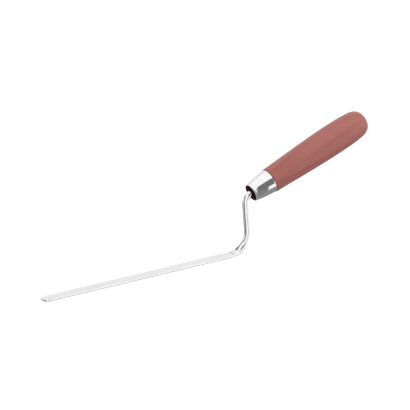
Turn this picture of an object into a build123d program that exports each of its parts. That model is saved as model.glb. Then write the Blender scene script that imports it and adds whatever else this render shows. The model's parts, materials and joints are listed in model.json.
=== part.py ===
from build123d import *
from math import cos, pi, radians, sin, tan
import os

os.makedirs("parts", exist_ok=True)

# A tuck pointer: a long narrow jointing blade forged in one piece with a cranked round neck
# and a tang, a plated ferrule, and a turned wooden handle. All sizes are in millimetres.
# The origin is the centre of the round tip, on the blade's flat underside. +X runs along
# the blade towards the handle, +Z is up, and the tool is symmetric about the XZ plane.

# Blade
blade_width = 10.0
blade_thickness = 1.7
blade_flat = 171.0  # from the centre of the round tip to where the forging starts to thicken
blade_edge_round = 0.5

# Heel and neck: the blade gathers into a round rod, which rises almost upright and then
# bends forward into the handle
neck_diameter = 5.3
neck_flat = 0.1  # narrow flats left on the round neck, so that every section has eight sides
heel_reach = 192.9  # from the tip centre to the lower corner of the forging's centre line
heel_radius = 16.5
heel_sections = 11
width_full = 0.8  # share of the heel's length at which its width is down to the neck's
width_gather = 0.7  # power of that easing: the width narrows early in the bend
thickness_start = 0.12  # shares of the heel's length at which it starts to thicken and stops
thickness_full = 0.52
neck_rise = 46.7  # from the lower corner up to the upper corner
neck_lean = 4.4  # degrees that the neck leans back towards the tip
neck_radius = 8.0
neck_to_mouth = 6.45  # from the upper corner to the ferrule's mouth, along the handle axis

# Tang: square and tapered, driven into the wood
tang_round_end = 8.0  # all the tang's stations are measured from the ferrule's mouth
tang_square_start = 18.0
tang_end = 76.0
tang_width = 4.2
tang_end_width = 2.4
tang_corner_round = 0.4

# Ferrule
handle_tilt = 20.4  # degrees that the handle axis rises above the blade
ferrule_length = 18.9
ferrule_mouth_radius = 7.55
ferrule_rear_radius = 10.25
ferrule_bulge = 0.45  # how far the outside stands out from a straight cone at mid length
ferrule_wall = 0.8
ferrule_lip_round = 0.36

# Handle: all stations are measured from the ferrule's mouth
nose_start = 6.0  # the wooden nose stays back from the mouth
shoulder_radius = 10.5
shoulder_round = 0.3
shoulder_slope = 0.0275  # how fast the grip widens as it leaves the ferrule
swell_station = 84.0
swell_radius = 12.55
waist_station = 107.0  # where the long outline turns into the rounded butt
waist_radius = 11.7
waist_slope = 0.11  # and how fast it narrows there
butt_station = 118.5
butt_crown = 9.1  # pull of the butt's curve outwards before it closes on the axis
butt_side = 7.7  # pull of the butt's curve along the grip

# Corners of the forging's centre line, which lies in the XZ plane
heel_corner = Vector(heel_reach, 0, blade_thickness / 2)
neck_corner = heel_corner + Vector(-neck_rise * tan(radians(neck_lean)), 0, neck_rise)
handle_direction = Vector(cos(radians(handle_tilt)), 0, sin(radians(handle_tilt)))
mouth_centre = neck_corner + handle_direction * neck_to_mouth

# The handle plane: its origin is the centre of the ferrule's mouth, local X runs along the
# handle axis and local Y is the radius
handle_plane = Plane(origin=mouth_centre, x_dir=handle_direction, z_dir=(0, -1, 0))
handle_axis = Axis(mouth_centre, handle_direction)

# The ferrule's middle station, where its outside and inside arcs are bulged
ferrule_middle = Vector(ferrule_length / 2, (ferrule_mouth_radius + ferrule_rear_radius) / 2)
ferrule_middle = ferrule_middle + Vector(0, ferrule_bulge)


def ease(share, start, end):
    """Smoothly from 0 at the start share to 1 at the end share."""
    inside = min(max((share - start) / (end - start), 0), 1)
    return (1 - cos(pi * inside)) / 2


def cross_plane(point, direction):
    """A plane across the forging, with local X along the blade's width."""
    return Plane(origin=point, x_dir=(0, 1, 0), z_dir=direction)


def station_plane(station):
    """A plane across the handle axis, at a station behind the ferrule's mouth."""
    return cross_plane(mouth_centre + handle_direction * station, handle_direction)


def ferrule_arc(depth):
    """The ferrule's outside arc, or with a depth the arc that far inside its wall."""
    return ThreePointArc(
        (0, ferrule_mouth_radius - depth),
        ferrule_middle - Vector(0, depth),
        (ferrule_length, ferrule_rear_radius - depth),
    )


# The centre line from the end of the flat blade to the end of the round neck: a short straight,
# the heel bend, the neck, the upper bend and a short straight into the ferrule
with BuildLine() as centre_line:
    FilletPolyline(
        (blade_flat, 0, blade_thickness / 2),
        heel_corner,
        neck_corner,
        mouth_centre + handle_direction * tang_round_end,
        radius=[heel_radius, neck_radius],
    )
forging_path = centre_line.wire()
heel_turn = radians(90 + neck_lean)
heel_length = heel_reach - heel_radius * tan(heel_turn / 2) - blade_flat + heel_radius * heel_turn
neck_round = (neck_diameter - neck_flat) / 2


with BuildPart() as blade_and_tang:
    # Flat blade with a semicircular tip and slightly rounded edges
    with BuildSketch():
        Circle(blade_width / 2)
        Rectangle(blade_flat, blade_width, align=(Align.MIN, Align.CENTER))
    extrude(amount=blade_thickness)
    faces_across = blade_and_tang.faces().filter_by(Axis.Z)
    fillet(faces_across.edges().sort_by(Axis.X)[:-2], radius=blade_edge_round)

    # Heel: the flat section gathers into the round neck while it bends upwards
    for index in range(heel_sections):
        share = index / (heel_sections - 1)
        narrowing = ease(share, 0, width_full) ** width_gather
        thickening = ease(share, thickness_start, thickness_full)
        width = blade_width + (neck_diameter - blade_width) * narrowing
        thickness = blade_thickness + (neck_diameter - blade_thickness) * thickening
        corner_round = blade_edge_round + (neck_round - blade_edge_round) * thickening
        along = heel_length * share
        point = forging_path.position_at(along, PositionMode.LENGTH)
        direction = forging_path.tangent_at(along, PositionMode.LENGTH)
        with BuildSketch(cross_plane(point, direction)):
            RectangleRounded(width, thickness, corner_round)
    loft()

    # Neck: the round rod, up and forward into the ferrule
    with BuildLine() as neck_line:
        add(forging_path.edges()[-3:])
    neck_path = neck_line.wire()
    with BuildSketch(cross_plane(neck_path @ 0, neck_path % 0)):
        RectangleRounded(neck_diameter, neck_diameter, neck_round)
    sweep(path=neck_path)

    # Tang: round to square, then a long taper
    with BuildSketch(station_plane(tang_round_end)):
        RectangleRounded(neck_diameter, neck_diameter, neck_round)
    with BuildSketch(station_plane(tang_square_start)):
        RectangleRounded(tang_width, tang_width, tang_corner_round)
    with BuildSketch(station_plane(tang_end)):
        RectangleRounded(tang_end_width, tang_end_width, tang_corner_round)
    loft(ruled=True)

blade_and_tang.part.label = "blade_and_tang"
export_step(blade_and_tang.part, "parts/blade_and_tang.step")


with BuildPart() as ferrule:
    # A tapered pressed sleeve with a rounded front lip
    with BuildSketch(handle_plane) as ferrule_section:
        with BuildLine():
            outside = ferrule_arc(0)
            inside = ferrule_arc(ferrule_wall)
            Line(outside @ 0, inside @ 0)
            Line(outside @ 1, inside @ 1)
        make_face()
        fillet(ferrule_section.vertices().group_by(handle_axis)[0], radius=ferrule_lip_round)
    revolve(axis=handle_axis)

ferrule.part.label = "ferrule"
export_step(ferrule.part, "parts/ferrule.step")


with BuildPart() as handle:
    # Turned grip: a shoulder against the ferrule, a long swell and a rounded butt
    with BuildSketch(handle_plane) as grip_section:
        with BuildLine():
            shoulder = (ferrule_length, shoulder_radius)
            swell = (swell_station, swell_radius)
            waist = Vector(waist_station, waist_radius)
            waist_direction = Vector(1, -waist_slope)
            Spline(shoulder, swell, tangents=((1, shoulder_slope), (1, 0)))
            Spline(swell, waist, tangents=((1, 0), waist_direction))
            Bezier(
                waist,
                waist + waist_direction * butt_side,
                (butt_station, butt_crown),
                (butt_station, 0),
            )
            Polyline((butt_station, 0), (ferrule_length, 0), shoulder)
        make_face()
        corner = grip_section.vertices().group_by(handle_axis)[0].sort_by(Axis.Z)[-1]
        fillet(corner, radius=shoulder_round)
    revolve(axis=handle_axis)

    # Nose: turned down to fill the ferrule, but stopping short of its mouth
    with BuildSketch(handle_plane):
        with BuildLine():
            nose_side = ferrule_arc(ferrule_wall)
            Polyline(nose_side @ 1, (ferrule_length, 0), (0, 0), nose_side @ 0)
        make_face()
        Rectangle(nose_start, 2 * ferrule_mouth_radius, align=(Align.MIN, Align.CENTER), mode=Mode.SUBTRACT)
    revolve(axis=handle_axis)

    # The blind hole that the driven tang has cut for itself
    add(blade_and_tang.part, mode=Mode.SUBTRACT)

handle.part.label = "handle"
export_step(handle.part, "parts/handle.step")
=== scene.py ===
import json
from math import cos, pi, radians, sin, tan

import bmesh
import bpy
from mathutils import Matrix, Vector


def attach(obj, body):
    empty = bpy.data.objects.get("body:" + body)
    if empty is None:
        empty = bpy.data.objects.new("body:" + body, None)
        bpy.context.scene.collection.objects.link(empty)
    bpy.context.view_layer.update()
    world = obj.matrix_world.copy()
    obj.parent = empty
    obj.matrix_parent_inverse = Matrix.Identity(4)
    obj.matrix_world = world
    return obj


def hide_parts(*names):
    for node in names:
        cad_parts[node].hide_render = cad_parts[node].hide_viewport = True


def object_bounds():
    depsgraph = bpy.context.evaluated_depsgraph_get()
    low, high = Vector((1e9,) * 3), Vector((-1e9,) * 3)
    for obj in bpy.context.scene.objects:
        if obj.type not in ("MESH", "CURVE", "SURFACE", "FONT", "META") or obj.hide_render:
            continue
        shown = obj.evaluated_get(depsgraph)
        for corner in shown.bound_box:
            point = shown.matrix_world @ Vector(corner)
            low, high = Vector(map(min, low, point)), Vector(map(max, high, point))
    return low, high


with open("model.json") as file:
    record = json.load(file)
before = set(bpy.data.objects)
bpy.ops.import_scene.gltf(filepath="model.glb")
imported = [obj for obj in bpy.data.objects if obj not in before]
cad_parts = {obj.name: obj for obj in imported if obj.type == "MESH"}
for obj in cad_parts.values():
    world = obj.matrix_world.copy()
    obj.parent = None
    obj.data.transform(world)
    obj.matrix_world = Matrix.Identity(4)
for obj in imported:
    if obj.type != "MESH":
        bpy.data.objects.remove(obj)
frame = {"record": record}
cad_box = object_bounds()

# Sizes are in millimetres, as in the CAD model, and each mesh is scaled to metres once it is
# built. The blade lies along +X from the centre of its round tip, with its underside at Z = 0.
MM = 0.001

# Forging: a flat blade that gathers into a round neck, bends up and forward, and ends in a tang
BLADE_WIDTH = 10.0
BLADE_THICKNESS = 1.7
BLADE_FLAT = 171.0
BLADE_EDGE_ROUND = 0.5
NECK_DIAMETER = 5.3
NECK_ROUND = 2.6
HEEL_REACH = 192.9
HEEL_RADIUS = 16.5
WIDTH_FULL = 0.8
WIDTH_GATHER = 0.7
THICKNESS_START = 0.12
THICKNESS_FULL = 0.52
NECK_RISE = 46.7
NECK_LEAN = 4.4
NECK_RADIUS = 8.0
NECK_TO_MOUTH = 6.45
TANG_ROUND_END = 8.0
TANG_SQUARE_START = 18.0
TANG_END = 76.0
TANG_WIDTH = 4.2
TANG_END_WIDTH = 2.4
TANG_CORNER_ROUND = 0.4

# Handle and ferrule: stations run along the handle axis from the ferrule's mouth
HANDLE_TILT = 20.4
FERRULE_LENGTH = 18.9
MOUTH_RADIUS = 7.55
REAR_RADIUS = 10.25
FERRULE_BULGE = 0.45
FERRULE_WALL = 0.8
LIP_ROUND = 0.36
REAR_EDGE_ROUND = 0.14
NOSE_START = 6.0
NOSE_CLEARANCE = 0.02
HOLE_RADIUS = 2.9
HOLE_END_RADIUS = 1.65
HOLE_END_CLEARANCE = 0.1
SHOULDER_RADIUS = 10.5
SHOULDER_ROUND = 0.3
SHOULDER_SLOPE = 0.0275
SWELL_STATION = 84.0
SWELL_RADIUS = 12.55
WAIST_STATION = 107.0
WAIST_RADIUS = 11.7
WAIST_SLOPE = -0.11
BUTT_STATION = 118.5
BUTT_CROWN = 9.1
BUTT_SIDE = 7.7

# Mesh densities: the numbers of steps in each stretch
FLAT_STEPS = 6
CORNER_STEPS = 9
SIDE_STEPS = 3
TIP_STEPS = 40
BLADE_STEPS = 57
HEEL_START_STEPS = 10
HEEL_BEND_STEPS = 72
NECK_STEPS = 24
NECK_BEND_STEPS = 40
TANG_STEPS = 8
TURN_STEPS = 128
LIP_STEPS = 7
LIP_SHADED_STEPS = 4
SLEEVE_STEPS = 28
REAR_EDGE_STEPS = 5
NOSE_STEPS = 10
SHOULDER_STEPS = 6
GRIP_STEPS = 60
WAIST_STEPS = 24
BUTT_STEPS = 36
SHARP_ANGLE = radians(40)

# Which of a turned piece's two materials a face has
SHOWN = 0
HIDDEN = 1

# The handle's axis and the ferrule's mouth come from the record's grip mount
grip = next(mount for mount in frame["record"]["mounts"] if mount["name"] == "grip")
AXIS = Vector(grip["axis"]).normalized()
ACROSS = Vector((0, 1, 0))
RAISED = Vector((-AXIS.z, 0, AXIS.x))
MOUTH = Vector(grip["pos_m"]) / MM - AXIS * SWELL_STATION


# ---------------------------------------------------------------- meshes


def make_piece(name, points, coordinates, faces, face_materials, materials):
    """A smooth mesh piece. Each point keeps its coordinates on the straightened piece, which
    the materials read, so that grinding lines and grain follow every bend."""
    mesh = bpy.data.meshes.new(name)
    mesh.from_pydata([point * MM for point in points], [], faces)
    stored = mesh.attributes.new("straight", "FLOAT_VECTOR", "POINT")
    stored.data.foreach_set("vector", [value for triple in coordinates for value in triple])
    for material in materials:
        mesh.materials.append(material)
    mesh.polygons.foreach_set("material_index", face_materials)
    tidy = bmesh.new()
    tidy.from_mesh(mesh)
    bmesh.ops.recalc_face_normals(tidy, faces=tidy.faces)
    tidy.to_mesh(mesh)
    tidy.free()
    mesh.shade_smooth()
    mesh.set_sharp_from_angle(angle=SHARP_ANGLE)
    piece = bpy.data.objects.new(name, mesh)
    bpy.context.scene.collection.objects.link(piece)
    weighting = piece.modifiers.new("even_shading", "WEIGHTED_NORMAL")
    weighting.keep_sharp = True
    return piece


def ease(share, start, end):
    """Smoothly from 0 at the start share to 1 at the end share."""
    inside = min(max((share - start) / (end - start), 0), 1)
    return (1 - cos(pi * inside)) / 2


def half_section(width, thickness, corner):
    """One half of a rounded rectangle, from the middle of its top to the middle of its base."""
    flat = width / 2 - corner
    rise = thickness / 2 - corner
    upper = [(flat * step / FLAT_STEPS, thickness / 2) for step in range(FLAT_STEPS)]
    for step in range(CORNER_STEPS + 1):
        angle = pi / 2 * (1 - step / CORNER_STEPS)
        upper.append((flat + corner * cos(angle), rise + corner * sin(angle)))
    side = [(width / 2, rise * (1 - 2 * step / SIDE_STEPS)) for step in range(1, SIDE_STEPS)]
    return upper + side + [(across, -height) for across, height in reversed(upper)]


def walk(start, heading, legs):
    """Stations along a line in the XZ plane, made of straights and bends. Each leg is its
    length, its turn in radians and its number of steps."""
    place = Vector(start)
    travelled = 0.0
    stations = []
    for length, turn, steps in legs:
        for step in range(steps):
            part = step / steps
            angle = heading + turn * part
            # The chord of an arc points halfway between the headings at its two ends
            chord = length * part
            if turn and part:
                chord = length / turn * 2 * sin(turn * part / 2)
            middle = heading + turn * part / 2
            spot = place + Vector((cos(middle), 0, sin(middle))) * chord
            stations.append((spot, angle, travelled + length * part))
        chord = length / turn * 2 * sin(turn / 2) if turn else length
        middle = heading + turn / 2
        place = place + Vector((cos(middle), 0, sin(middle))) * chord
        heading = heading + turn
        travelled = travelled + length
    stations.append((place, heading, travelled))
    return stations


def forging_sections():
    """(centre, heading, travelled, width, thickness, corner) from the blade to the tang."""
    heel_turn = radians(90 + NECK_LEAN)
    neck_turn = radians(HANDLE_TILT - 90 - NECK_LEAN)
    heel_straight = HEEL_REACH - BLADE_FLAT - HEEL_RADIUS * tan(heel_turn / 2)
    heel_length = heel_straight + HEEL_RADIUS * heel_turn
    neck_tangent = NECK_RADIUS * tan(-neck_turn / 2)
    neck_straight = NECK_RISE / cos(radians(NECK_LEAN))
    neck_straight = neck_straight - HEEL_RADIUS * tan(heel_turn / 2) - neck_tangent
    legs = (
        (BLADE_FLAT, 0, BLADE_STEPS),
        (heel_straight, 0, HEEL_START_STEPS),
        (HEEL_RADIUS * heel_turn, heel_turn, HEEL_BEND_STEPS),
        (neck_straight, 0, NECK_STEPS),
        (NECK_RADIUS * -neck_turn, neck_turn, NECK_BEND_STEPS),
        (NECK_TO_MOUTH + TANG_ROUND_END - neck_tangent, 0, TANG_STEPS),
    )
    sections = []
    for place, heading, travelled in walk((0, 0, BLADE_THICKNESS / 2), 0, legs):
        share = (travelled - BLADE_FLAT) / heel_length
        narrowing = ease(share, 0, WIDTH_FULL) ** WIDTH_GATHER
        thickening = ease(share, THICKNESS_START, THICKNESS_FULL)
        width = BLADE_WIDTH + (NECK_DIAMETER - BLADE_WIDTH) * narrowing
        thickness = BLADE_THICKNESS + (NECK_DIAMETER - BLADE_THICKNESS) * thickening
        corner = BLADE_EDGE_ROUND + (NECK_ROUND - BLADE_EDGE_ROUND) * thickening
        sections.append((place, heading, travelled, width, thickness, corner))
    end_travelled = sections[-1][2]
    tilt = radians(HANDLE_TILT)
    for station, width in ((TANG_SQUARE_START, TANG_WIDTH), (TANG_END, TANG_END_WIDTH)):
        travelled = end_travelled + station - TANG_ROUND_END
        place = MOUTH + AXIS * station
        sections.append((place, tilt, travelled, width, width, TANG_CORNER_ROUND))
    return sections


def make_forging(materials):
    """The blade, heel, neck and tang as one skin with a revolved round tip."""
    points = []
    coordinates = []
    faces = []
    sections = forging_sections()
    for place, heading, travelled, width, thickness, corner in sections:
        half = half_section(width, thickness, corner)
        mirrored = [(-across, height) for across, height in reversed(half[1:-1])]
        raised = Vector((-sin(heading), 0, cos(heading)))
        for across, height in half + mirrored:
            points.append(place + ACROSS * across + raised * height)
            coordinates.append((travelled, across, height))
    around = len(points) // len(sections)
    for row in range(len(sections) - 1):
        for index in range(around):
            beside = (index + 1) % around
            near = row * around
            far = near + around
            faces.append((near + index, near + beside, far + beside, far + index))
    faces.append(tuple((len(sections) - 1) * around + index for index in range(around)))

    # The round tip: the half section turned through half a circle about the tip's centre
    half = half_section(BLADE_WIDTH, BLADE_THICKNESS, BLADE_EDGE_ROUND)
    last = len(half) - 1
    columns = [list(range(last + 1))]
    for step in range(1, TIP_STEPS):
        angle = pi / 2 + pi * step / TIP_STEPS
        column = [0]
        for across, height in half[1:-1]:
            x, y = cos(angle) * across, sin(angle) * across
            column.append(len(points))
            points.append(Vector((x, y, height + BLADE_THICKNESS / 2)))
            coordinates.append((x, y, height))
        columns.append(column + [last])
    columns.append([0] + [around - index for index in range(1, last)] + [last])
    for left, right in zip(columns, columns[1:]):
        for index in range(last):
            corners = (left[index], left[index + 1], right[index + 1], right[index])
            faces.append(tuple(dict.fromkeys(corners)))
    return make_piece("forging", points, coordinates, faces, [0] * len(faces), materials)


def revolve(name, profile, zones, materials):
    """Turns a profile of (station, radius) points about the handle axis. A profile that starts
    on the axis ends there too, and any other is closed on itself. zones gives the material
    number of each of the profile's steps."""
    solid = profile[0][1] == 0
    points = []
    coordinates = []
    rows = []
    for station, radius in profile:
        turns = 1 if radius == 0 else TURN_STEPS
        row = []
        for turn in range(turns):
            angle = 2 * pi * turn / TURN_STEPS
            sideways = radius * sin(angle)
            upward = radius * cos(angle)
            row.append(len(points))
            points.append(MOUTH + AXIS * station + ACROSS * sideways + RAISED * upward)
            coordinates.append((station, sideways, upward))
        rows.append(row * (TURN_STEPS // turns))
    if not solid:
        rows.append(rows[0])
    faces = []
    face_materials = []
    for near, far, zone in zip(rows, rows[1:], zones):
        for turn in range(TURN_STEPS):
            beside = (turn + 1) % TURN_STEPS
            corners = (near[turn], near[beside], far[beside], far[turn])
            faces.append(tuple(dict.fromkeys(corners)))
            face_materials.append(zone)
    return make_piece(name, points, coordinates, faces, face_materials, materials)


def ferrule_radius(station):
    """Outside radius of the ferrule: a straight cone with a slight bulge."""
    share = station / FERRULE_LENGTH
    cone = MOUTH_RADIUS + (REAR_RADIUS - MOUTH_RADIUS) * share
    return cone + 4 * FERRULE_BULGE * share * (1 - share)


def quarter_arc(centre, radius, start, end, steps):
    """Points (station, radius) on an arc, with its angles in quarter turns."""
    angles = [pi / 2 * (start + (end - start) * step / steps) for step in range(steps + 1)]
    return [(centre[0] + radius * cos(angle), centre[1] + radius * sin(angle)) for angle in angles]


def make_ferrule(materials):
    """The tapered sleeve: a rounded lip, a bulged outside, and a dull inside coloured with painted
    shade.
    """
    inner_lip = (LIP_ROUND, MOUTH_RADIUS - FERRULE_WALL + LIP_ROUND)
    outer_lip = (LIP_ROUND, ferrule_radius(LIP_ROUND) - LIP_ROUND)
    lip = quarter_arc(inner_lip, LIP_ROUND, -1, -2, LIP_STEPS)
    lip += quarter_arc(outer_lip, LIP_ROUND, 2, 1, LIP_STEPS)
    rear = FERRULE_LENGTH - REAR_EDGE_ROUND
    run = rear - LIP_ROUND
    outside = [LIP_ROUND + run * step / SLEEVE_STEPS for step in range(1, SLEEVE_STEPS)]
    outside = [(station, ferrule_radius(station)) for station in outside]
    rear_centre = (rear, ferrule_radius(rear) - REAR_EDGE_ROUND)
    edge = quarter_arc(rear_centre, REAR_EDGE_ROUND, 1, 0, REAR_EDGE_STEPS)
    depth = FERRULE_LENGTH - LIP_ROUND
    inside = [FERRULE_LENGTH - depth * step / SLEEVE_STEPS for step in range(SLEEVE_STEPS)]
    inside = [(station, ferrule_radius(station) - FERRULE_WALL) for station in inside]
    profile = lip + outside + edge + inside
    zones = [SHOWN] * (len(profile) - len(inside)) + [HIDDEN] * len(inside)
    # The inner part of the lip is as dull as the inside and takes its painted shade too
    zones[:LIP_SHADED_STEPS] = [HIDDEN] * LIP_SHADED_STEPS
    return revolve("ferrule_sleeve", profile, zones, materials)


def slope_curve(start, end, start_slope, end_slope, steps):
    """Points of a smooth outline between two (station, radius) points with given slopes."""
    run = end[0] - start[0]
    curve = []
    for step in range(steps):
        t = step / steps
        radius = (2 * t**3 - 3 * t**2 + 1) * start[1] + (3 * t**2 - 2 * t**3) * end[1]
        radius += (t**3 - 2 * t**2 + t) * run * start_slope + (t**3 - t**2) * run * end_slope
        curve.append((start[0] + run * t, radius))
    return curve


def butt_curve():
    """The rounded end of the handle, which closes on the axis."""
    pulls = (
        (WAIST_STATION, WAIST_RADIUS),
        (WAIST_STATION + BUTT_SIDE, WAIST_RADIUS + WAIST_SLOPE * BUTT_SIDE),
        (BUTT_STATION, BUTT_CROWN),
        (BUTT_STATION, 0),
    )
    curve = []
    for step in range(BUTT_STEPS + 1):
        t = step / BUTT_STEPS
        weights = ((1 - t) ** 3, 3 * t * (1 - t) ** 2, 3 * t**2 * (1 - t), t**3)
        station = sum(weight * pull[0] for weight, pull in zip(weights, pulls))
        radius = sum(weight * pull[1] for weight, pull in zip(weights, pulls))
        curve.append((station, radius))
    return curve


def make_handle(materials):
    """The turned grip with its nose inside the ferrule, drilled for the tang."""
    hole_end = TANG_END + HOLE_END_CLEARANCE
    hole = [(hole_end, 0), (hole_end, HOLE_END_RADIUS)]
    hole += [(TANG_SQUARE_START, HOLE_RADIUS), (NOSE_START, HOLE_RADIUS)]
    run = FERRULE_LENGTH - NOSE_START
    nose = [NOSE_START + run * step / NOSE_STEPS for step in range(NOSE_STEPS + 1)]
    inset = FERRULE_WALL + NOSE_CLEARANCE
    nose = [(station, ferrule_radius(station) - inset) for station in nose]
    shoulder = (FERRULE_LENGTH, SHOULDER_RADIUS)
    swell = (SWELL_STATION, SWELL_RADIUS)
    waist = (WAIST_STATION, WAIST_RADIUS)
    centre = (FERRULE_LENGTH + SHOULDER_ROUND, SHOULDER_RADIUS - SHOULDER_ROUND)
    profile = hole + nose
    bare = len(profile) - 1
    profile += quarter_arc(centre, SHOULDER_ROUND, 2, 1, SHOULDER_STEPS)
    profile += slope_curve(shoulder, swell, SHOULDER_SLOPE, 0, GRIP_STEPS)[1:]
    profile += slope_curve(swell, waist, 0, WAIST_SLOPE, WAIST_STEPS)
    profile += butt_curve()
    profile[-1] = (BUTT_STATION, 0)
    zones = [HIDDEN] * bare + [SHOWN] * (len(profile) - 1 - bare)
    return revolve("turned_grip", profile, zones, materials)


# ---------------------------------------------------------------- materials

STEEL = (0.95, 0.95, 0.95, 1)
GROUND_STEEL = (0.88, 0.88, 0.89, 1)
CLOUDED_STEEL = (0.82, 0.82, 0.82, 1)
SCRATCHED_STEEL = (0.7, 0.7, 0.71, 1)
# Painted reflection: the dark line that the blade's lower edge mirrors
PAINTED_EDGE_REFLECTION = (0.09, 0.09, 0.1, 1)
PLATING = (0.95, 0.95, 0.95, 1)
BRUSHED_PLATING = (0.9, 0.9, 0.91, 1)
WORN_PLATING = (0.6, 0.56, 0.54, 1)
# Painted shade and painted wood reflection for the ferrule's inside
INSIDE_DEEP_SHADE = (0.09, 0.045, 0.04, 1)
INSIDE_SHADE_WOOD_TINT = (0.2, 0.12, 0.11, 1)
DARK_WOOD = (0.46, 0.15, 0.124, 1)
LIGHT_WOOD = (0.51, 0.185, 0.158, 1)
LATE_WOOD = (0.38, 0.105, 0.08, 1)
FIBRE_WOOD = (0.54, 0.22, 0.19, 1)
PORE_WOOD = (0.2, 0.055, 0.042, 1)
HAND_WORN_WOOD = (0.57, 0.22, 0.19, 1)
JOINT_DIRT = (0.12, 0.04, 0.035, 1)
BUTT_DIRT = (0.24, 0.07, 0.055, 1)
# Painted shade for the nose inside the ferrule
NOSE_PAINTED_SHADE = (0.05, 0.022, 0.018, 1)

# The tree's pith stands beside the handle, and the growth layers are round it
PITH_ACROSS = 16.0
PITH_HEIGHT = -10.0
LAYER_WANDER = 4.0
LAYER_WAVE = 1.5  # radians for each millimetre away from the pith


class Graph:
    """Short ways to add nodes to a shader tree."""

    def __init__(self, tree):
        self.tree = tree
        self.tree.nodes.clear()

    def node(self, kind, **settings):
        made = self.tree.nodes.new(kind)
        for name, value in settings.items():
            setattr(made, name, value)
        return made

    def feed(self, socket, value):
        """Links a socket, or sets a number, colour or vector on it."""
        if isinstance(value, bpy.types.NodeSocket):
            self.tree.links.new(value, socket)
        else:
            socket.default_value = value

    def math(self, operation, *values):
        made = self.node("ShaderNodeMath", operation=operation)
        for socket, value in zip(made.inputs, values):
            self.feed(socket, value)
        return made.outputs[0]

    def vector(self, operation, *values):
        made = self.node("ShaderNodeVectorMath", operation=operation)
        for socket, value in zip(made.inputs, values):
            self.feed(socket, value)
        return made.outputs[0]

    def ramp(self, value, start, end, low=0.0, high=1.0):
        """Smoothly from low to high as value goes from start to end."""
        made = self.node("ShaderNodeMapRange", interpolation_type="SMOOTHSTEP")
        for socket, setting in zip(made.inputs, (value, start, end, low, high)):
            self.feed(socket, setting)
        return made.outputs[0]

    def mix(self, share, first, second):
        made = self.node("ShaderNodeMix", data_type="RGBA")
        self.feed(made.inputs["Factor"], share)
        self.feed(made.inputs[6], first)
        self.feed(made.inputs[7], second)
        return made.outputs[2]

    def noise(self, place, stretch, detail=2.0, roughness=0.5):
        """Noise from 0 to 1. stretch is how many features there are in a millimetre."""
        made = self.node("ShaderNodeTexNoise")
        self.feed(made.inputs["Vector"], self.vector("MULTIPLY", place, stretch))
        made.inputs["Scale"].default_value = 1.0
        made.inputs["Detail"].default_value = detail
        made.inputs["Roughness"].default_value = roughness
        return made.outputs["Fac"]

    def bump(self, height, depth_mm, under=None):
        made = self.node("ShaderNodeBump")
        made.inputs["Strength"].default_value = 1.0
        made.inputs["Distance"].default_value = depth_mm * MM
        self.feed(made.inputs["Height"], height)
        if under is not None:
            self.feed(made.inputs["Normal"], under)
        return made.outputs["Normal"]

    def straight(self):
        """The point's coordinates on the straightened piece, in millimetres."""
        return self.node("ShaderNodeAttribute", attribute_name="straight").outputs["Vector"]

    def parts(self, place):
        made = self.node("ShaderNodeSeparateXYZ")
        self.feed(made.inputs[0], place)
        return made.outputs[0], made.outputs[1], made.outputs[2]

    def surface(self, **sockets):
        """A Principled surface. Socket names use _ for a space."""
        shader = self.node("ShaderNodeBsdfPrincipled")
        for name, value in sockets.items():
            self.feed(shader.inputs[name.replace("_", " ")], value)
        output = self.node("ShaderNodeOutputMaterial")
        self.tree.links.new(shader.outputs[0], output.inputs["Surface"])


def new_material(name):
    material = bpy.data.materials.new(name)
    material.use_nodes = True
    return material, Graph(material.node_tree)


def steel_material():
    """Polished steel with fine lengthwise grinding lines, a hammered heel and neck, and a painted
    dark reflection line along the blade's lower edge."""
    material, graph = new_material("polished_steel")
    place = graph.straight()
    along, across, height = graph.parts(place)
    lines = graph.noise(place, (0.05, 7.0, 7.0), detail=4.0, roughness=0.65)
    scratches = graph.noise(place, (0.16, 16.0, 16.0), detail=2.0)
    scratches = graph.ramp(scratches, 0.62, 0.78)
    smudges = graph.noise(place, (0.035, 0.09, 0.09), detail=3.0)
    forged = graph.ramp(along, BLADE_FLAT - 4, BLADE_FLAT + 14)
    hammered = graph.math("MULTIPLY", graph.noise(place, (0.16, 0.3, 0.3), detail=1.0), forged)
    # How far the place is from the blade's middle line, which ends at the tip's centre, and
    # how high it is above the blade's underside
    ahead = graph.math("MINIMUM", along, 0.0)
    reach = graph.math("MULTIPLY_ADD", ahead, ahead, graph.math("MULTIPLY", across, across))
    reach = graph.math("SQRT", reach)
    rise = graph.math("ADD", height, BLADE_THICKNESS / 2)
    side = BLADE_WIDTH / 2
    edge = graph.ramp(reach, side - 1.1, side)
    low = graph.ramp(rise, 0.3, 0.5, 1.0, 0.0)
    # Painted reflection: a dark line in the base colour along the blade's lower edge, in place of
    # the dark surroundings that this edge mirrors
    painted_edge_reflection = graph.math("MULTIPLY", graph.ramp(reach, side - 0.7, side - 0.3), low)
    on_blade = graph.ramp(along, BLADE_FLAT, BLADE_FLAT + 20, 1.0, 0.0)
    painted_edge_reflection = graph.math("MULTIPLY", painted_edge_reflection, on_blade)
    rough = graph.ramp(lines, 0.3, 0.7, 0.02, 0.06)
    rough = graph.math("ADD", rough, graph.ramp(smudges, 0.35, 0.7, 0.0, 0.04))
    rough = graph.math("ADD", rough, graph.math("MULTIPLY", edge, 0.01))
    colour = graph.mix(graph.ramp(lines, 0.25, 0.75), GROUND_STEEL, STEEL)
    colour = graph.mix(graph.ramp(smudges, 0.4, 0.75, 0.0, 0.5), colour, CLOUDED_STEEL)
    colour = graph.mix(graph.math("MULTIPLY", scratches, 0.3), colour, SCRATCHED_STEEL)
    colour = graph.mix(graph.math("MULTIPLY", painted_edge_reflection, 0.95), colour, PAINTED_EDGE_REFLECTION)
    normal = graph.bump(hammered, 0.012)
    normal = graph.bump(lines, 0.0005, normal)
    normal = graph.bump(scratches, -0.0008, normal)
    graph.surface(Base_Color=colour, Metallic=1.0, Roughness=rough, Normal=normal)
    return material


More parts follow.
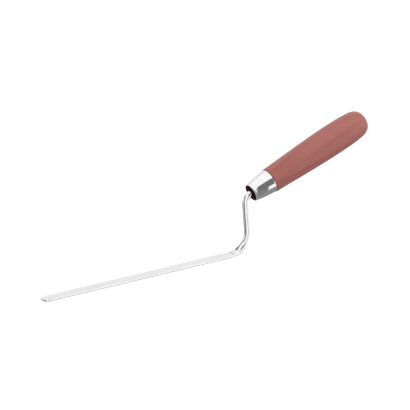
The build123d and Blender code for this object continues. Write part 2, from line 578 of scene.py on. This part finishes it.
def plating_material():
    """Bright plating with faint polishing lines around the sleeve, worn at its rear edge."""
    material, graph = new_material("bright_plating")
    place = graph.straight()
    along = graph.parts(place)[0]
    rings = graph.noise(place, (9.0, 0.06, 0.06), detail=3.0, roughness=0.6)
    smudges = graph.noise(place, (0.12, 0.12, 0.12), detail=3.0)
    rough = graph.ramp(rings, 0.3, 0.7, 0.02, 0.045)
    rough = graph.math("ADD", rough, graph.ramp(smudges, 0.4, 0.7, 0.0, 0.03))
    colour = graph.mix(graph.ramp(rings, 0.3, 0.7), BRUSHED_PLATING, PLATING)
    worn = graph.ramp(along, FERRULE_LENGTH - 0.6, FERRULE_LENGTH, 0.0, 0.35)
    colour = graph.mix(worn, colour, WORN_PLATING)
    normal = graph.bump(rings, 0.0006)
    graph.surface(Base_Color=colour, Metallic=1.0, Roughness=rough, Normal=normal)
    return material


def painted_shade_inside_material():
    """The ferrule's unpolished inside, coloured dark red-brown as painted shade, with the wood's
    tint as a painted reflection.
    """
    material, graph = new_material("painted_shade_inside")
    place = graph.straight()
    stain_and_shade_blotches = graph.noise(place, (0.5, 0.7, 0.7), detail=4.0, roughness=0.7)
    # Painted shade: these dark base colours stand for the shadow in the ferrule's hollow and the
    # wood that it mirrors
    colour = graph.mix(graph.ramp(stain_and_shade_blotches, 0.35, 0.65), INSIDE_DEEP_SHADE, INSIDE_SHADE_WOOD_TINT)
    rough = graph.ramp(stain_and_shade_blotches, 0.3, 0.7, 0.55, 0.75)
    normal = graph.bump(stain_and_shade_blotches, 0.02)
    graph.surface(Base_Color=colour, Metallic=0.4, Roughness=rough, Normal=normal)
    return material


def wood_colour(graph, place):
    """Red-brown hardwood: growth layers about a pith beside the handle, fibres and pores.
    Gives the colour, the pores and the fibres."""
    wander = graph.noise(place, (0.012, 0.09, 0.09), detail=2.0)
    across, height = graph.parts(place)[1:]
    aside = graph.math("SUBTRACT", across, PITH_ACROSS)
    above = graph.math("SUBTRACT", height, PITH_HEIGHT)
    squares = graph.math("MULTIPLY_ADD", aside, aside, graph.math("MULTIPLY", above, above))
    layer = graph.math("MULTIPLY_ADD", wander, LAYER_WANDER, graph.math("SQRT", squares))
    wave = graph.math("SINE", graph.math("MULTIPLY", layer, LAYER_WAVE))
    fibres = graph.noise(place, (0.05, 3.2, 3.2), detail=4.0, roughness=0.6)
    streaks = graph.noise(place, (0.012, 0.5, 0.5), detail=3.0, roughness=0.55)
    pores = graph.ramp(graph.noise(place, (0.3, 8.0, 8.0), detail=1.0), 0.64, 0.74)
    colour = graph.mix(graph.ramp(streaks, 0.3, 0.7), DARK_WOOD, LIGHT_WOOD)
    colour = graph.mix(graph.ramp(wave, 0.2, 1.0, 0.0, 0.4), colour, LATE_WOOD)
    colour = graph.mix(graph.ramp(fibres, 0.35, 0.7, 0.0, 0.25), colour, FIBRE_WOOD)
    colour = graph.mix(graph.math("MULTIPLY", pores, 0.45), colour, PORE_WOOD)
    return colour, pores, fibres


def varnish_material():
    """The grip: stained hardwood under a satin varnish, lighter where the hand holds it."""
    material, graph = new_material("varnished_wood")
    place = graph.straight()
    colour, pores, fibres = wood_colour(graph, place)
    along = graph.parts(place)[0]
    colour = graph.mix(graph.ramp(along, 35.0, 100.0, 0.0, 0.3), colour, HAND_WORN_WOOD)
    joint = graph.ramp(along, FERRULE_LENGTH + 0.1, FERRULE_LENGTH + 1.1, 0.7, 0.0)
    colour = graph.mix(joint, colour, JOINT_DIRT)
    butt = graph.ramp(along, BUTT_STATION - 4, BUTT_STATION, 0.0, 0.35)
    colour = graph.mix(butt, colour, BUTT_DIRT)
    patches = graph.noise(place, (0.06, 0.1, 0.1), detail=3.0)
    rough = graph.ramp(patches, 0.35, 0.7, 0.3, 0.42)
    rough = graph.math("ADD", rough, graph.math("MULTIPLY", pores, 0.2))
    normal = graph.bump(fibres, 0.004)
    normal = graph.bump(pores, -0.012, normal)
    graph.surface(
        Base_Color=colour,
        Roughness=rough,
        Normal=normal,
        Specular_IOR_Level=0.2,
        Coat_Weight=0.03,
        Coat_Roughness=0.22,
    )
    return material


def bare_wood_material():
    """The nose inside the ferrule: raw wood, darkened with painted shade for the ferrule's hollow.
    """
    material, graph = new_material("bare_wood")
    place = graph.straight()
    colour, _, fibres = wood_colour(graph, place)
    shade_patches = graph.noise(place, (0.4, 0.4, 0.4), detail=3.0)
    # Painted shade: the nose is darkened in patches in place of the shadow inside the ferrule
    colour = graph.mix(graph.ramp(shade_patches, 0.2, 0.7, 0.6, 0.9), colour, NOSE_PAINTED_SHADE)
    graph.surface(Base_Color=colour, Roughness=0.85, Normal=graph.bump(fibres, 0.03))
    return material


# ---------------------------------------------------------------- studio


# What stands around the object: (azimuth of the middle, half width, lean, lowest and highest
# elevation, softness of the edges, brightness), all angles in degrees. Azimuth 0 is -Y and
# 90 is +X. The lean is how far the middle moves for each degree of elevation. Later ones
# cover earlier ones.
SURROUNDINGS = {
    "back_wall": (195, 55, 0, -90, 50, 6, 0.89),
    "back_floor": (208, 70, 0, -90, -9, 4, 0.52),
    "back_strip": (172, 24, 0, 24, 37, 4, 0.7),
    "low_reflector": (136, 16, 0, -46, -24, 4, 0.9),
    "left_strip": (-130, 36, 0, 22, 38, 3, 0.22),
    "left_screen": (-80, 15, 0, -12, 30, 3, 0.03),
    "left_screen_foot": (-68, 13, 0, -45, -8, 2, 0.02),
    "dark_screen": (9.5, 10.5, 0, -5, 45, 1.5, 0.17),
    "dark_screen_side": (8.5, 10, -0.42, -5, 45, 1.5, 0.17),
    "dark_screen_foot": (3, 6.5, -0.55, -60, -4, 1, 0.21),
}
ROOM_BRIGHTNESS = 1.0
GROUND_BRIGHTNESS = 0.27
GROUND_TOP = -35
ROOM_BOTTOM = -26


def make_world():
    """Soft white room light with a grey ground and darker screens, by direction only."""
    world = bpy.data.worlds.new("studio")
    world.use_nodes = True
    bpy.context.scene.world = world
    graph = Graph(world.node_tree)
    direction = graph.node("ShaderNodeTexCoord").outputs["Generated"]
    x, y, z = graph.parts(direction)
    azimuth = graph.math("ARCTAN2", x, graph.math("MULTIPLY", y, -1.0))
    azimuth = graph.math("DEGREES", azimuth)
    elevation = graph.math("DEGREES", graph.math("ARCSINE", z))
    level = graph.ramp(elevation, GROUND_TOP, ROOM_BOTTOM, GROUND_BRIGHTNESS, ROOM_BRIGHTNESS)
    for middle, half, lean, bottom, top, soft, brightness in SURROUNDINGS.values():
        leaning = graph.math("MULTIPLY_ADD", elevation, -lean, azimuth)
        offset = graph.math("WRAP", graph.math("SUBTRACT", leaning, middle), 180.0, -180.0)
        offset = graph.math("ABSOLUTE", offset)
        inside = graph.ramp(offset, half - soft, half + soft, 1.0, 0.0)
        above = graph.ramp(elevation, bottom - soft, bottom + soft)
        below = graph.ramp(elevation, top - soft, top + soft, 1.0, 0.0)
        inside = graph.math("MULTIPLY", graph.math("MULTIPLY", inside, above), below)
        change = graph.math("MULTIPLY", graph.math("SUBTRACT", brightness, level), inside)
        level = graph.math("ADD", level, change)
    # The camera itself sees plain white beyond the floor
    seen = graph.node("ShaderNodeLightPath").outputs["Is Camera Ray"]
    level = graph.math("MULTIPLY_ADD", graph.math("SUBTRACT", 1.0, level), seen, level)
    background = graph.node("ShaderNodeBackground")
    graph.feed(background.inputs["Color"], (1, 1, 1, 1))
    graph.feed(background.inputs["Strength"], level)
    output = graph.node("ShaderNodeOutputWorld")
    graph.tree.links.new(background.outputs[0], output.inputs["Surface"])


FLOOR_REACH = 80.0
FLOOR_COLOUR = (0.85, 0.85, 0.85, 1)
FLOOR_GLOW = 0.55


def make_floor():
    """A plain white floor that only the camera sees, so that the metal mirrors the room."""
    level = cad_box[0].z
    signs = ((-1, -1), (1, -1), (1, 1), (-1, 1))
    corners = [(x * FLOOR_REACH, y * FLOOR_REACH, level) for x, y in signs]
    mesh = bpy.data.meshes.new("floor")
    mesh.from_pydata(corners, [], [(0, 1, 2, 3)])
    material, graph = new_material("white_floor")
    graph.surface(
        Base_Color=FLOOR_COLOUR,
        Roughness=1.0,
        Emission_Color=(1, 1, 1, 1),
        Emission_Strength=FLOOR_GLOW,
    )
    mesh.materials.append(material)
    floor = bpy.data.objects.new("floor", mesh)
    bpy.context.scene.collection.objects.link(floor)
    floor.visible_diffuse = False
    floor.visible_glossy = False
    floor.visible_transmission = False
    floor.visible_shadow = False


CAMERA_AZIMUTH = -34.2
CAMERA_ELEVATION = 20.0
CAMERA_DISTANCE = 4.56
CAMERA_LENS = 500.0
# How far the camera's aim is from the middle of the object's box
AIM_OFFSET = Vector((-0.75, 0, -0.84)) * MM


def make_camera():
    """A long lens at the photograph's viewing angle, aimed at the middle of the object."""
    azimuth = radians(CAMERA_AZIMUTH)
    elevation = radians(CAMERA_ELEVATION)
    back = Vector((sin(azimuth) * cos(elevation), -cos(azimuth) * cos(elevation), sin(elevation)))
    data = bpy.data.cameras.new("camera")
    data.lens = CAMERA_LENS
    data.sensor_width = 36.0
    data.clip_start = 0.1
    data.clip_end = 200.0
    camera = bpy.data.objects.new("camera", data)
    camera.location = (cad_box[0] + cad_box[1]) / 2 + AIM_OFFSET + back * CAMERA_DISTANCE
    camera.rotation_mode = "QUATERNION"
    camera.rotation_quaternion = back.to_track_quat("Z", "Y")
    bpy.context.scene.collection.objects.link(camera)
    bpy.context.scene.camera = camera


# ---------------------------------------------------------------- the scene

make_world()
make_floor()
make_camera()
bpy.context.scene.view_settings.view_transform = "Standard"
bpy.context.scene.view_settings.look = "None"

forging = make_forging([steel_material()])
sleeve = make_ferrule([plating_material(), painted_shade_inside_material()])
turned_grip = make_handle([varnish_material(), bare_wood_material()])

stands_for = (
    (forging, "blade_and_tang", "polished_steel"),
    (sleeve, "ferrule", "plated_ferrule"),
    (turned_grip, "handle", "varnished_wood"),
)
for piece, node, slot in stands_for:
    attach(piece, "root")
    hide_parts(node)
